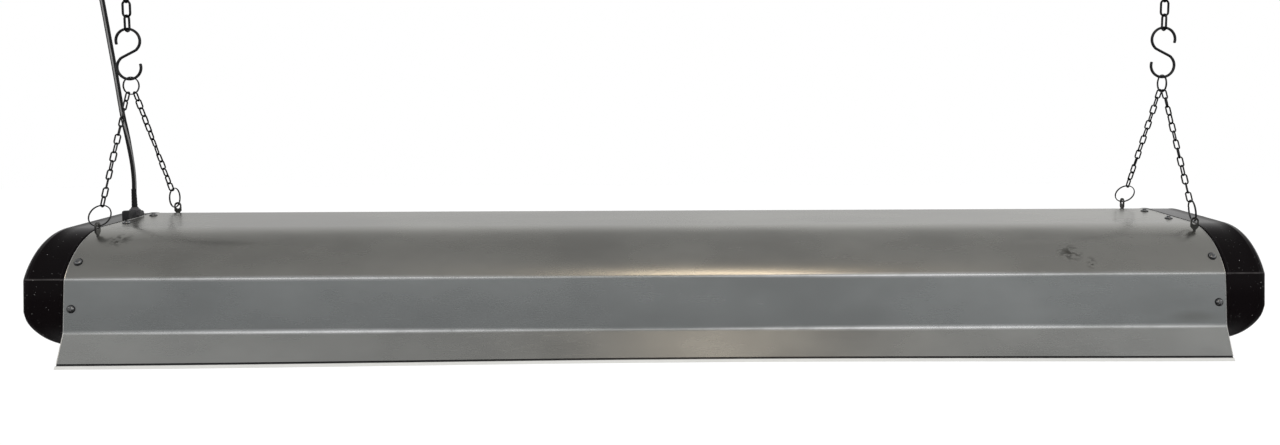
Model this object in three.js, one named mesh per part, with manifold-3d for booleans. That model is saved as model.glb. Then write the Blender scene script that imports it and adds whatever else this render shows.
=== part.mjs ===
// A hanging grow light for two four-foot LED tubes, in millimetres, +Z up.
// A folded sheet-metal hood with two moulded end caps hangs on four chain legs,
// two split rings, two S-hooks and two chains from a pair of ceiling hooks.
// The origin is on the ceiling, halfway between the two ceiling hooks, and the
// long side of the hood runs along X. -Y is the front.

import * as THREE from 'three';
import { mergeVertices } from 'three/addons/utils/BufferGeometryUtils.js';
import Module from 'manifold-3d';

const wasm = await Module();
wasm.setup();

// ---- driving dimensions ----
const GAP = 0.3;                // clearance kept between pieces that touch
const SHEET = 0.8;              // hood sheet thickness
const HOOD_HALF_LENGTH = 592.5;
const TOP_HALF_WIDTH = 47;      // half of the flat top
const SHOULDER_RADIUS = 77;
const CREASE_1_DROP = 42;       // lower end of the rounded shoulder
const CREASE_2 = [121.2, -95];  // lower end of the side panel
const FLARE_END = [134.2, -123.2];
const HEM_DEPTH = 4.8;          // strip folded back up along the bottom edge

const CAP_END = 637.5;          // outermost face of an end cap
const CAP_FLANGE = 575;         // inner end of the flange that the hood covers
const CAP_WALL = 2.5;
const CAP_ROUNDING = 9;
const CAP_FLOOR = -127;

const TOP_SCREWS = { x: 581.5, frontY: -22.5, rearY: 31 };
const ARC_SCREWS = { x: 584, angle: THREE.MathUtils.degToRad(48.8) };
const SIDE_SCREWS = { x: 585, share: 0.555 };   // share of the way down the side panel

const HANGERS = {               // upper chain and S-hook, then the ring below them
  left: { x: -583.8, ringX: -582.4, ringYaw: 68, hookFaces: 1 },
  right: { x: 580.3, ringX: 580.3, ringYaw: 90, hookFaces: -1 },
};
const CLIPS = {                 // clips near the front stand further out than the rear ones
  left_front: { x: -581.3, y: -75, yaw: 0 },
  left_rear: { x: -574.6, y: 72, yaw: 90 },
  right_front: { x: 581.3, y: -75, yaw: 78 },
  right_rear: { x: 574.6, y: 72, yaw: 2 },
};
const CLIP_EYE = { radius: 2.9, z: 4.9 };   // wide enough for the ring to lie over as it sways
const EYE_WIRE_Z = 5.7;         // lower ring wire inside a clip's eye
const LOWER_RING = { radius: 11.5, wire: 1.4 };
const UPPER_RING = { radius: 9.6, wire: 1.5, z: 151.6 };
const RING_SPREAD = THREE.MathUtils.degToRad(28);
const LEG_LINK = { length: 11.3, width: 5.1, wire: 1.3, count: 13 };
const UP_LINK = { length: 17.7, width: 8.7, wire: 1.9, count: 8, pitch: 16.1 };
const S_WIRE = 3;
const S_TOP = 214.7;            // wire centre at the top of an S-hook
const S_BOTTOM = 158.8;
const S_RADIUS = 13.2;
const HOOK_WIRE = 4;
const HOOK_DEPTH = 46;          // ceiling to the wire centre at the hook's bottom
const HOOK_RADIUS = 9.5;

const TUBE_Y = 58;
const TUBE_Z = -75;
const TUBE_RADIUS = 13;
const TUBE_WALL = 1.2;
const TUBE_PROFILE_END = 583;
const TUBE_END = 599.5;

const GLAND = { x: -597.5, y: 22, top: 11.6 };
const CORD_DIAMETER = 5.4;
const COIL = { x: -596.8, y: 17, z: 314, radius: 30, bundle: 8.6 };

// heights of the hanging chain above the hood, from the bottom up
const LAST_LINK_Z = S_TOP + UP_LINK.length / 2 - (UP_LINK.wire + S_WIRE) / 2 - GAP;
const FIRST_LINK_Z = LAST_LINK_Z + UP_LINK.pitch * (UP_LINK.count - 1);
const TOP_LINK_Z = FIRST_LINK_Z + UP_LINK.length - UP_LINK.wire - GAP;
const HOOK_WIRE_Z = TOP_LINK_Z + UP_LINK.length / 2 - (UP_LINK.wire + HOOK_WIRE) / 2 - GAP;
const HANG_DROP = HOOK_WIRE_Z + HOOK_DEPTH;   // ceiling to the hood's flat top

// ---- finishes ----
const finish = (color, roughness, metalness) => ({ color, roughness, metalness });
const SHEET_METAL = finish(0x77776f, 0.38, 0.85);
const CAP_PLASTIC = finish(0x0c0b0c, 0.12, 0.0);
const BRIGHT_STEEL = finish(0xa9adb0, 0.25, 1.0);
const ZINC_STEEL = finish(0x55585a, 0.35, 0.9);
const BLACK_WIRE = finish(0x18181a, 0.35, 0.6);
const WHITE_PAINT = finish(0xe8e8e4, 0.45, 0.0);
const WHITE_PLASTIC = finish(0xeceae4, 0.5, 0.0);
const ALUMINIUM = finish(0xc4c7ca, 0.35, 0.95);
const DIFFUSER = finish(0xf4f2ec, 0.55, 0.0);
const BOARD_WHITE = finish(0xf0f0ea, 0.6, 0.0);
const CORD_RUBBER = finish(0x121213, 0.42, 0.0);
const BLACK_PLASTIC = finish(0x151517, 0.35, 0.0);

// ---- small tools ----
const vec = (x, y, z) => new THREE.Vector3(x, y, z);

function toSolid(geometry) {
  const bare = geometry.clone();
  bare.deleteAttribute('normal');
  bare.deleteAttribute('uv');
  const merged = mergeVertices(bare, 1e-4);
  const triVerts = new Uint32Array(merged.index.array);
  const vertProperties = new Float32Array(merged.attributes.position.array);
  return new wasm.Manifold(new wasm.Mesh({ numProp: 3, vertProperties, triVerts }));
}

function toGeometry(solid) {
  const mesh = solid.getMesh();
  const geometry = new THREE.BufferGeometry();
  geometry.setAttribute('position', new THREE.BufferAttribute(mesh.vertProperties, 3));
  geometry.setIndex(new THREE.BufferAttribute(mesh.triVerts, 1));
  geometry.computeVertexNormals();
  return geometry;
}

const join = (geometries) =>
  toGeometry(geometries.map(toSolid).reduce((all, next) => all.add(next)));

const cut = (geometry, tools) =>
  toGeometry(tools.map(toSolid).reduce((rest, tool) => rest.subtract(tool), toSolid(geometry)));

function piece(name, geometry, look) {
  const mesh = new THREE.Mesh(geometry, new THREE.MeshStandardMaterial(look));
  mesh.name = name;
  return mesh;
}

function box(from, to) {
  const size = to.map((value, i) => value - from[i]);
  const geometry = new THREE.BoxGeometry(...size);
  return geometry.translate(from[0] + size[0] / 2, from[1] + size[1] / 2, from[2] + size[2] / 2);
}

// a cylinder along Z between two heights
function post(radius, x, y, z0, z1, sides = 12) {
  const geometry = new THREE.CylinderGeometry(radius, radius, z1 - z0, sides);
  return geometry.rotateX(Math.PI / 2).translate(x, y, (z0 + z1) / 2);
}

// an outline of [y, z] points pushed along X
function alongX(points, x0, x1, bevel = {}) {
  const shape = new THREE.Shape(points.map(([y, z]) => new THREE.Vector2(y, z)));
  const settings = { depth: x1 - x0, bevelEnabled: false, curveSegments: 8, ...bevel };
  const turn = new THREE.Matrix4().makeBasis(vec(0, 1, 0), vec(0, 0, 1), vec(1, 0, 0));
  return new THREE.ExtrudeGeometry(shape, settings).applyMatrix4(turn).translate(x0, 0, 0);
}

function roundBar(points, diameter, sides, steps) {
  const section = new THREE.Shape();
  section.absarc(0, 0, diameter / 2, 0, Math.PI * 2);
  const extrudePath = new THREE.CatmullRomCurve3(points, false, 'centripetal');
  const outline = new THREE.Shape(section.getPoints(sides).slice(0, sides));
  return new THREE.ExtrudeGeometry(outline, { steps, extrudePath, bevelEnabled: false });
}

// ---- the folded section of the hood ----
const CREASE_1_ANGLE = Math.acos(1 - CREASE_1_DROP / SHOULDER_RADIUS);

// half of the outside, from the top's middle to the end of the flare
function hoodHalf(steps = 7) {
  const points = [[0, 0]];
  for (let i = 0; i <= steps; i += 1) points.push(shoulderPoint((i / steps) * CREASE_1_ANGLE));
  return [...points, CREASE_2, FLARE_END];
}

function shoulderPoint(angle) {
  const y = TOP_HALF_WIDTH + SHOULDER_RADIUS * Math.sin(angle);
  return [y, SHOULDER_RADIUS * (Math.cos(angle) - 1)];
}

// moves an open line inwards (to its right-hand side) by a distance
function inset(line, distance) {
  const normals = line.slice(1).map((point, i) => {
    const dy = point[0] - line[i][0];
    const dz = point[1] - line[i][1];
    return [dz / Math.hypot(dy, dz), -dy / Math.hypot(dy, dz)];
  });
  return line.map(([y, z], i) => {
    const a = normals[Math.max(i - 1, 0)];
    const b = normals[Math.min(i, normals.length - 1)];
    const scale = distance / (1 + a[0] * b[0] + a[1] * b[1]);
    return [y + (a[0] + b[0]) * scale, z + (a[1] + b[1]) * scale];
  });
}

const mirrored = (line) => line.map(([y, z]) => [-y, z]).reverse();

// closes a half line and its mirror image into one outline
const closeOutline = (half) => [...half, ...mirrored(half.slice(1))];

// ---- fixings through the hood and the cap flange ----
const PANEL_SLOPE = Math.atan2(CREASE_2[0] - shoulderPoint(CREASE_1_ANGLE)[0],
  CREASE_1_DROP + 95 - 2 * CREASE_1_DROP);

// each seat is a point on the sheet and the direction that faces out of it
function screwSeats() {
  const low = shoulderPoint(CREASE_1_ANGLE);
  const panel = low.map((value, i) => value + (CREASE_2[i] - value) * SIDE_SCREWS.share);
  const arc = shoulderPoint(ARC_SCREWS.angle);
  const seats = {};
  for (const [end, sx] of [['left', -1], ['right', 1]]) {
    for (const [side, sy] of [['front', -1], ['rear', 1]]) {
      const normal = vec(0, sy * Math.cos(PANEL_SLOPE), Math.sin(PANEL_SLOPE));
      const arcNormal = vec(0, sy * Math.sin(ARC_SCREWS.angle), Math.cos(ARC_SCREWS.angle));
      const topY = sy < 0 ? TOP_SCREWS.frontY : TOP_SCREWS.rearY;
      const seat = (x, y, z, out) => ({ at: vec(sx * x, y, z), out });
      seats[`screw_${end}_${side}_top`] = seat(TOP_SCREWS.x, topY, 0, vec(0, 0, 1));
      seats[`screw_${end}_${side}_arc`] = seat(ARC_SCREWS.x, sy * arc[0], arc[1], arcNormal);
      seats[`screw_${end}_${side}_side`] = seat(SIDE_SCREWS.x, sy * panel[0], panel[1], normal);
    }
  }
  return seats;
}

const upTo = (direction) => new THREE.Quaternion().setFromUnitVectors(vec(0, 1, 0), direction);

function fixingHole({ at, out }, diameter, depth) {
  const hole = new THREE.CylinderGeometry(diameter / 2, diameter / 2, depth, 8);
  return hole.applyQuaternion(upTo(out)).translate(at.x, at.y, at.z);
}

function panScrew() {
  const profile = [[0, -7.5], [1.6, -6.5], [1.6, 0], [3.7, 0], [3.6, 1], [2.4, 2.1], [0, 2.5]];
  return new THREE.LatheGeometry(profile.map(([x, y]) => new THREE.Vector2(x, y)), 9);
}

function buildScrews() {
  return Object.entries(screwSeats()).map(([name, { at, out }]) => {
    const screw = piece(name, panScrew(), BRIGHT_STEEL);
    screw.quaternion.copy(upTo(out));
    screw.position.copy(at).addScaledVector(out, GAP);
    return screw;
  });
}

// ---- hanging clips: a tab with an eye, a neck through the sheet and a foot ----
function clipGeometry(yaw) {
  const outline = new THREE.Shape();
  outline.moveTo(-1.3, -2.6).lineTo(1.3, -2.6).lineTo(4, 2.6).lineTo(4, 6);
  outline.absarc(0, 6, 4, 0, Math.PI, false).lineTo(-4, 2.6).closePath();
  const eye = new THREE.Path().absarc(0, CLIP_EYE.z, CLIP_EYE.radius, 0, Math.PI * 2, true);
  outline.holes.push(eye);
  const tab = new THREE.ExtrudeGeometry(outline, { depth: 2, bevelEnabled: false, curveSegments: 5 });
  const upright = tab.translate(0, 0, -1).rotateX(Math.PI / 2).rotateZ(Math.PI / 2);
  const parts = [upright, post(1.4, 0, 0, -12.6, -2, 10), post(3.2, 0, 0, -13.6, -11.6, 10)];
  return join(parts).rotateZ(THREE.MathUtils.degToRad(yaw));
}

function buildClips() {
  return Object.entries(CLIPS).map(([name, { x, y, yaw }]) => {
    const clip = piece(`clip_${name}`, clipGeometry(yaw), ZINC_STEEL);
    clip.position.set(x, y, 0);
    return clip;
  });
}

const sheetHoles = () => [
  ...Object.values(screwSeats()).map((seat) => fixingHole(seat, 4.2, 14)),
  ...Object.values(CLIPS).map(({ x, y }) => post(2, x, y, -15, 3, 8)),
];

// ---- hood ----
function buildHood() {
  const outside = hoodHalf();
  const inside = inset(outside, SHEET);
  const [y, z] = FLARE_END;
  const hem = [[y + 1.9, z], [y + 4.1, z - HEM_DEPTH], [y + 1.3, z - HEM_DEPTH]];
  const rim = [...outside, ...hem, ...inside.slice(1).reverse()];
  const section = [...rim, ...mirrored(rim.slice(1))];
  const shell = alongX(section, -HOOD_HALF_LENGTH, HOOD_HALF_LENGTH);
  return piece('hood', cut(shell, sheetHoles()), SHEET_METAL);
}

// ---- end caps ----
function capHalf() {
  const chin = [[117.6, -74], [115, -84], [110, -92.4], [99, -103], [85, -113.4], [68, -123]];
  const upper = inset(hoodHalf(), SHEET + GAP).slice(0, -2);
  return [...upper, ...chin, [56, CAP_FLOOR]];
}

function capGeometry() {
  const bevel = {
    bevelEnabled: true, bevelSegments: 3, bevelThickness: CAP_ROUNDING,
    bevelSize: CAP_ROUNDING, bevelOffset: -CAP_ROUNDING,
  };
  const half = capHalf();
  const body = alongX(closeOutline(half), CAP_FLANGE - 1, CAP_END - CAP_ROUNDING, bevel);
  const hollow = alongX(closeOutline(inset(half, CAP_WALL)), CAP_FLANGE - 20, CAP_END - 12, {
    ...bevel, bevelThickness: 12 - CAP_WALL, bevelSize: 7, bevelOffset: -7,
  });
  const innerEnd = box([CAP_FLANGE - 40, -150, -140], [CAP_FLANGE, 150, 10]);
  const underHood = box([CAP_FLANGE - 40, -150, -140], [HOOD_HALF_LENGTH, 150, -92]);
  return cut(body, [hollow, innerEnd, underHood]);
}

function buildCap(end, turn) {
  const sign = turn ? -1 : 1;
  const whole = capGeometry().rotateZ(turn);
  const holes = sheetHoles();
  if (sign < 0) holes.push(post(4.2, GLAND.x, GLAND.y, -12, 6));
  return piece(`end_cap_${end}`, cut(whole, holes), CAP_PLASTIC);
}

// ---- inside: wireway, driver, lampholders and tubes ----
function buildWireway() {
  const half = [[0, -34], [26, -34], [31.5, -20], [31.5, -1.4]];
  const inner = half.map(([y, z], i) => [i ? y - SHEET : 0, z + (i < 2 ? SHEET : 0)]);
  const rim = [...half, ...inner.slice(1).reverse()];
  const section = [...rim, ...mirrored(rim)];
  return piece('wireway_cover', alongX(section, -560, 560), WHITE_PAINT);
}

function buildDriver() {
  const half = [[0, -28], [20, -28], [20, -6], [17, -4], [0, -4]];
  const section = [...half.slice(0, -1), ...mirrored(half.slice(1, -1))];
  return piece('led_driver', alongX(section, -500, -200), ALUMINIUM);
}

function buildHolderPlate(end, sign) {
  const half = [[0, -6], [46, -6], [84, -22], [84, -90], [72, -100], [0, -100]];
  const section = [...half, ...mirrored(half.slice(1, -1))];
  const x = 614.6;
  const plate = alongX(section, x, x + 1.2).rotateZ(sign < 0 ? Math.PI : 0);
  return piece(`holder_plate_${end}`, plate, WHITE_PAINT);
}

function buildLampholder(end, sx, side, sy) {
  const z0 = TUBE_Z - 21;
  const z1 = TUBE_Z + 27;
  const body = [[-11, z0 + 6], [-6, z0], [6, z0], [11, z0 + 6], [11, z1], [-11, z1]];
  const block = alongX(body, 600.2, 614.2);
  const pocket = alongX(circle(9, 14).map(([y, z]) => [y, z + TUBE_Z]), 599, 609);
  const holder = cut(block, [pocket]).translate(0, sx * sy * TUBE_Y, 0);
  return piece(`lampholder_${end}_${side}`, holder.rotateZ(sx < 0 ? Math.PI : 0), WHITE_PLASTIC);
}

function circle(radius, sides) {
  const angles = Array.from({ length: sides }, (_, i) => (i / sides) * Math.PI * 2);
  return angles.map((a) => [radius * Math.cos(a), radius * Math.sin(a)]);
}

// a half-round channel wall between two angles in degrees
function channel(from, to) {
  const arc = (radius) => Array.from({ length: 9 }, (_, i) => {
    const a = THREE.MathUtils.degToRad(from + ((to - from) * i) / 8);
    return [radius * Math.cos(a), radius * Math.sin(a)];
  });
  return [...arc(TUBE_RADIUS), ...arc(TUBE_RADIUS - TUBE_WALL).reverse()];
}

function tubeEndCap() {
  const shell = alongX(circle(TUBE_RADIUS, 14), TUBE_PROFILE_END + GAP, TUBE_END);
  const pins = [-6.35, 6.35].map((z) => {
    const pin = alongX(circle(1.2, 6), TUBE_END - 1, TUBE_END + 7.2);
    return pin.translate(0, 0, z);
  });
  return join([shell, ...pins]);
}

function buildTube(side, sy) {
  const group = new THREE.Group();
  group.position.set(0, sy * TUBE_Y, TUBE_Z);
  const long = (points) => alongX(points, -TUBE_PROFILE_END, TUBE_PROFILE_END);
  const board = box([-TUBE_PROFILE_END + 2, -10.2, -0.8], [TUBE_PROFILE_END - 2, 10.2, 0.8]);
  group.add(piece(`tube_${side}_heat_sink`, long(channel(2, 178)), ALUMINIUM));
  group.add(piece(`tube_${side}_led_board`, board, BOARD_WHITE));
  group.add(piece(`tube_${side}_diffuser`, long(channel(182, 358)), DIFFUSER));
  group.add(piece(`tube_${side}_end_right`, tubeEndCap(), ALUMINIUM));
  group.add(piece(`tube_${side}_end_left`, tubeEndCap().rotateZ(Math.PI), ALUMINIUM));
  return group;
}

// ---- chains and rings ----
// one oval link in the XY plane, long along Y; length and width are wire centre to centre
function link({ length, width, wire }) {
  const geometry = new THREE.TorusGeometry(width / 2, wire / 2, 4, 8);
  const position = geometry.attributes.position;
  const stretch = (length - width) / 2;
  for (let i = 0; i < position.count; i += 1) {
    const y = position.getY(i);
    const move = Math.abs(y) < wire * 0.4 ? 0 : Math.sign(y) * stretch;
    position.setY(i, y + move);
  }
  return geometry;
}

// places a flat shape so that its Y runs along one direction and its X near another
function facing(geometry, along, across, at) {
  const x = across.clone().addScaledVector(along, -across.dot(along)).normalize();
  const z = x.clone().cross(along);
  const matrix = new THREE.Matrix4().makeBasis(x, along, z).setPosition(at);
  return geometry.applyMatrix4(matrix);
}

// a run of links, each turned a quarter from the last, fused where they bear on each other
function chain(size, start, along, pitch, acrossStart, extraTurn = 0) {
  const links = [];
  for (let i = 0; i < size.count; i += 1) {
    const across = acrossStart.clone().applyAxisAngle(along, i * (Math.PI / 2 + extraTurn));
    links.push(facing(link(size), along, across, start.clone().addScaledVector(along, i * pitch)));
  }
  return join(links);
}

function ring({ radius, wire }) {
  return new THREE.TorusGeometry(radius, wire / 2, 4, 18);
}

// where a leg takes hold of the upper ring, and the ring wire's direction there
function ringHold(x, ringYaw, sy) {
  const u = vec(Math.cos(ringYaw), Math.sin(ringYaw), 0);
  const angle = sy * RING_SPREAD;
  const at = vec(x, 0, UPPER_RING.z - UPPER_RING.radius * Math.cos(angle));
  at.addScaledVector(u, UPPER_RING.radius * Math.sin(angle));
  const tangent = u.clone().multiplyScalar(Math.cos(angle)).add(vec(0, 0, Math.sin(angle)));
  return { at, tangent };
}

function buildLeg(name, { x, y, yaw }, ringX, ringYaw) {
  const eye = vec(x, y, EYE_WIRE_Z);
  const { at: top, tangent } = ringHold(ringX, ringYaw, Math.sign(y));
  const along = top.clone().sub(eye).normalize();
  const turn = THREE.MathUtils.degToRad(yaw);
  const ringAcross = vec(Math.cos(turn), Math.sin(turn), 0);
  const centre = eye.clone().addScaledVector(along, LOWER_RING.radius);
  const lowerRing = facing(ring(LOWER_RING), along, ringAcross, centre);

  const reach = (wire) => LEG_LINK.length / 2 - (LEG_LINK.wire + wire) / 2 - GAP;
  const low = 2 * LOWER_RING.radius + reach(LOWER_RING.wire);
  const high = eye.distanceTo(top) - reach(UPPER_RING.wire);
  const pitch = (high - low) / (LEG_LINK.count - 1);
  const first = flatCross(ringAcross, along);
  const last = flatCross(tangent, along);
  const sum = signedAngle(first, last, along);
  const extra = (sum - Math.PI * Math.round(sum / Math.PI)) / (LEG_LINK.count - 1);
  const start = eye.clone().addScaledVector(along, low);
  const links = chain(LEG_LINK, start, along, pitch, first, extra);
  return [
    piece(`lower_ring_${name}`, lowerRing, BRIGHT_STEEL),
    piece(`chain_leg_${name}`, links, ZINC_STEEL),
  ];
}

const flatCross = (a, along) => a.clone().cross(along).normalize();

const signedAngle = (a, b, axis) =>
  Math.atan2(axis.dot(a.clone().cross(b)), a.dot(b));

// ---- S-hook: two open loops that face opposite ways ----
function sHook(sign) {
  const mid = (S_TOP + S_BOTTOM) / 2;
  const centre = S_TOP - S_RADIUS - mid;
  const points = [];
  for (let a = 195; a >= -55; a -= 25) points.push(onLoop(a, centre));
  for (let a = 125; a <= 375; a += 25) points.push(onLoop(a, -centre));
  const placed = points.map(([x, z]) => vec(sign * x, 0, z + mid));
  return roundBar(placed, S_WIRE, 6, 26);
}

function onLoop(degrees, centre) {
  const a = THREE.MathUtils.degToRad(degrees);
  return [S_RADIUS * Math.cos(a), centre + S_RADIUS * Math.sin(a)];
}

function ceilingHook() {
  const disc = [[0, 0], [15, 0], [15, -1.6], [12.5, -3.4], [4.5, -4.2], [0, -4.2]];
  const flange = new THREE.LatheGeometry(disc.map(([x, y]) => new THREE.Vector2(x, y)).reverse(), 20);
  const points = [vec(0, 0, -2), vec(0, 0, -12), vec(0, 0, -20), vec(3.5, 0, -27)];
  for (let a = 35; a >= -215; a -= 25) {
    const t = THREE.MathUtils.degToRad(a);
    const z = -HOOK_DEPTH + HOOK_RADIUS + HOOK_RADIUS * Math.sin(t);
    points.push(vec(HOOK_RADIUS * Math.cos(t), 0, z));
  }
  return join([flange.rotateX(Math.PI / 2), roundBar(points, HOOK_WIRE, 6, 22)]);
}

// everything that hangs between the ceiling and the hood at one end
function buildHanger(end) {
  const { x, ringX, ringYaw: degrees, hookFaces } = HANGERS[end];
  const ringYaw = THREE.MathUtils.degToRad(degrees);
  const up = vec(0, 0, 1);
  const upperRing = facing(ring(UPPER_RING), up, vec(Math.cos(ringYaw), Math.sin(ringYaw), 0),
    vec(ringX, 0, UPPER_RING.z));
  const links = chain(UP_LINK, vec(x, 0, LAST_LINK_Z), up, UP_LINK.pitch, vec(0, 1, 0));
  const topLink = facing(link(UP_LINK), up, vec(0, 1, 0), vec(x, 0, TOP_LINK_Z));
  return [
    piece(`upper_ring_${end}`, upperRing, BRIGHT_STEEL),
    piece(`s_hook_${end}`, sHook(hookFaces).translate(x, 0, 0), BLACK_WIRE),
    piece(`upper_chain_${end}`, links, ZINC_STEEL),
    piece(`top_link_${end}`, topLink, ZINC_STEEL),
    piece(`ceiling_hook_${end}`, ceilingHook().translate(x, 0, HANG_DROP), WHITE_PAINT),
    ...['front', 'rear'].flatMap((side) =>
      buildLeg(`${end}_${side}`, CLIPS[`${end}_${side}`], ringX, ringYaw)),
  ];
}

// ---- power cord ----
// a bar along the seam, lower at its rear end, with a round cord clamp on it
function buildGland() {
  const { x, y, top } = GLAND;
  const side = [[3, -SHEET], [34, -SHEET], [34, 5.4], [31, 6.6], [5, 9.8], [3, 9]];
  const bar = alongX(side, -601.6, -593.4);
  const dome = [[2.9, 3], [6.3, 3], [6.3, top - 3.4], [4.6, top], [2.9, top]];
  const profile = [...dome, dome[0]].map(([r, z]) => new THREE.Vector2(r, z));
  const collar = new THREE.LatheGeometry(profile, 14).rotateX(Math.PI / 2).translate(x, y, 0);
  const neck = post(3.8, x, y, -9, 5);
  const bored = cut(join([bar, neck]), [post(2.95, x, y, -10, 30)]);
  return piece('cord_gland', join([bored, collar]), BLACK_PLASTIC);
}

// up beside the hanger, then into the coil
function cordRoute() {
  const { x, y, top } = GLAND;
  const rise = [[x, y, top + GAP], [x, y, 24], [-597, 22.4, 40], [-598.4, 23.2, 60],
    [-602.7, 24.4, 88], [-608.7, 25.6, 120], [-613.8, 26, 160], [-619, 25.8, 200],
    [-622.4, 25.2, 228], [-625.2, 24.2, 252], [-627.6, 22.6, 272]];
  const route = rise.map((point) => vec(...point));
  route.push(vec(COIL.x - COIL.radius - 1.6, COIL.y + 3.6, 287.4));
  return route;
}

function buildCord() {
  return piece('power_cord', roundBar(cordRoute(), CORD_DIAMETER, 8, 34), CORD_RUBBER);
}

function buildCoil() {
  const { x, y, z, radius, bundle } = COIL;
  const section = circle(bundle, 8).map(([a, b]) => new THREE.Vector2(radius + a, b * 0.94));
  const coil = new THREE.LatheGeometry([...section, section[0]], 22);
  return piece('cord_coil', coil.translate(x, y, z), CORD_RUBBER);
}

function buildPlug() {
  const { x, y, z } = COIL;
  const half = [[0, -17], [8, -17], [11.5, -6], [11.5, 15], [9, 17], [0, 17]];
  const outline = new THREE.Shape([...half, ...mirrored(half.slice(1, -1))]
    .map(([a, b]) => new THREE.Vector2(a, b)));
  const body = new THREE.ExtrudeGeometry(outline, { depth: 18, bevelEnabled: false });
  const blade = (px, py) => box([px - 3.1, py - 0.75, 16], [px + 3.1, py + 0.75, 33]);
  const parts = [body.rotateX(Math.PI / 2).translate(0, 9, 0),
    blade(0, -6.35).rotateZ(Math.PI / 2), blade(0, 6.35).rotateZ(Math.PI / 2),
    post(2.4, 0, -6, 16, 35, 8)];
  return piece('plug', join(parts).translate(x - 26, y + 18.5, z + 20), BLACK_PLASTIC);
}

// ---- assembly ----
const group = new THREE.Group();
group.position.set(0, 0, -HANG_DROP);
group.add(buildHood(), buildCap('right', 0), buildCap('left', Math.PI));
group.add(...buildScrews(), ...buildClips());
group.add(buildWireway(), buildDriver());
for (const [end, sx] of [['left', -1], ['right', 1]]) {
  group.add(buildHolderPlate(end, sx));
  group.add(buildLampholder(end, sx, 'front', -1), buildLampholder(end, sx, 'rear', 1));
}
group.add(buildTube('front', -1), buildTube('rear', 1));
group.add(...buildHanger('left'), ...buildHanger('right'));
group.add(buildGland(), buildCord(), buildCoil(), buildPlug());

export default group;
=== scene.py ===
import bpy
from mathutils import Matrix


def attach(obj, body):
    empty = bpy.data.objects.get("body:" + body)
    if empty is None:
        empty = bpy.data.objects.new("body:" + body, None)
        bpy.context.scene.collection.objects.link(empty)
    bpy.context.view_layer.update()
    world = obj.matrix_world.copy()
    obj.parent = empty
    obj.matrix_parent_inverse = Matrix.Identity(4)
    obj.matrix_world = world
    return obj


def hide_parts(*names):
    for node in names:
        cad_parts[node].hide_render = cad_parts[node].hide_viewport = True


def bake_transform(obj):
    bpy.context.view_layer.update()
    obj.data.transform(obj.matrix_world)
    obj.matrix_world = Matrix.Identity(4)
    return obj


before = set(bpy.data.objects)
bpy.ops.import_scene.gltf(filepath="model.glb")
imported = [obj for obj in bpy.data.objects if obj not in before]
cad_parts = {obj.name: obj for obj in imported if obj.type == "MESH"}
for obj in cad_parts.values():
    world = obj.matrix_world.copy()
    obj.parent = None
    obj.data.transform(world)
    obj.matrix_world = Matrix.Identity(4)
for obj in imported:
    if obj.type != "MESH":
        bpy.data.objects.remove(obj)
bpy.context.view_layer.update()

import math
import random

import bmesh
import bpy
from mathutils import Matrix, Vector

# Lengths below are in millimetres from the middle of the hood's flat top, unless a comment
# says otherwise. P() turns them into metres in the part's frame, with its origin on the ceiling.
DROP = 400.6  # from the ceiling down to the flat top
HOOD_END = 592.5
CAP_END, CAP_ROUNDING, CAP_WALL = 637.5, 9.0, 2.5
CREASE_Z, SKIRT_Z = -42, -95  # the two creases on each side of the hood
EYE_Z, LOWER_RING, LOWER_WIRE = 5.7, 11.5, 1.4
UPPER_RING, UPPER_RING_Z, UPPER_WIRE = 9.6, 151.6, 1.5
TUBE_Y, TUBE_Z = 58.0, -75.0
GLAND = (-597.5, 22.0, 11.6)  # where the cord leaves it
COIL = (-596.8, 17.0, 314.0)  # the middle of the tied coil
CORD_WIDTH, CORD_THICK = 5.6, 4.3
SIDES, ENDS = (("front", -1), ("rear", 1)), (("left", -1), ("right", 1))
X_AXIS, Y_AXIS, Z_AXIS = Vector((1, 0, 0)), Vector((0, 1, 0)), Vector((0, 0, 1))
random.seed(7)


def P(x, y, z):
    return Vector((x, y, z - DROP)) * 0.001


# -------- camera and stage
CAMERA_AT = (21.7, -1053.6, 169.7)
CAMERA_TURN = (-0.95, 4.3, 0.11)  # yaw, pitch down and roll in degrees
CAMERA_LENS, CAMERA_SHIFT = 26.2, (-0.0367, -0.0657)
# The room that metal and gloss reflect, in front of the light and behind it: the sine of the
# elevation and the brightness. The strip light is the 1.0.
FRONT_ROOM = ((-1, 0.04), (-0.25, 0.07), (-0.08, 0.32), (0.24, 0.33), (0.29, 1.0), (0.40, 1.0),
              (0.45, 0.30), (1, 0.30))
BACK_ROOM = ((-1, 0.08), (-0.2, 0.15), (0.0, 0.60), (0.45, 0.66), (0.75, 0.36), (1, 0.30))
FRONT_TO_BACK = (-0.1, 0.45, 0, 1)  # from Y of a direction to the back room's share
LEFT_TO_RIGHT = (-0.7, 0.7, 0.84, 1.12)  # from X of a direction to the room's brightness
FLOOR_HALF, FLOOR_Z = 9, -1.5  # in metres


def make_camera():
    yaw, pitch, roll = (math.radians(a) for a in CAMERA_TURN)
    turn = (Matrix.Rotation(yaw, 3, "Z") @ Matrix.Rotation(-pitch, 3, "X")
            @ Matrix.Rotation(roll, 3, "Y"))
    right, ahead, up = turn.col[0].copy(), turn.col[1].copy(), turn.col[2].copy()
    data = bpy.data.cameras.new("camera")
    data.sensor_width = 36.0
    data.lens = CAMERA_LENS
    data.shift_x, data.shift_y = CAMERA_SHIFT
    data.clip_end = 60
    cam = bpy.data.objects.new("camera", data)
    basis = Matrix((right, up, -ahead)).transposed().to_4x4()
    cam.matrix_world = Matrix.Translation(P(*CAMERA_AT)) @ basis
    bpy.context.collection.objects.link(cam)
    bpy.context.scene.camera = cam


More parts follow.
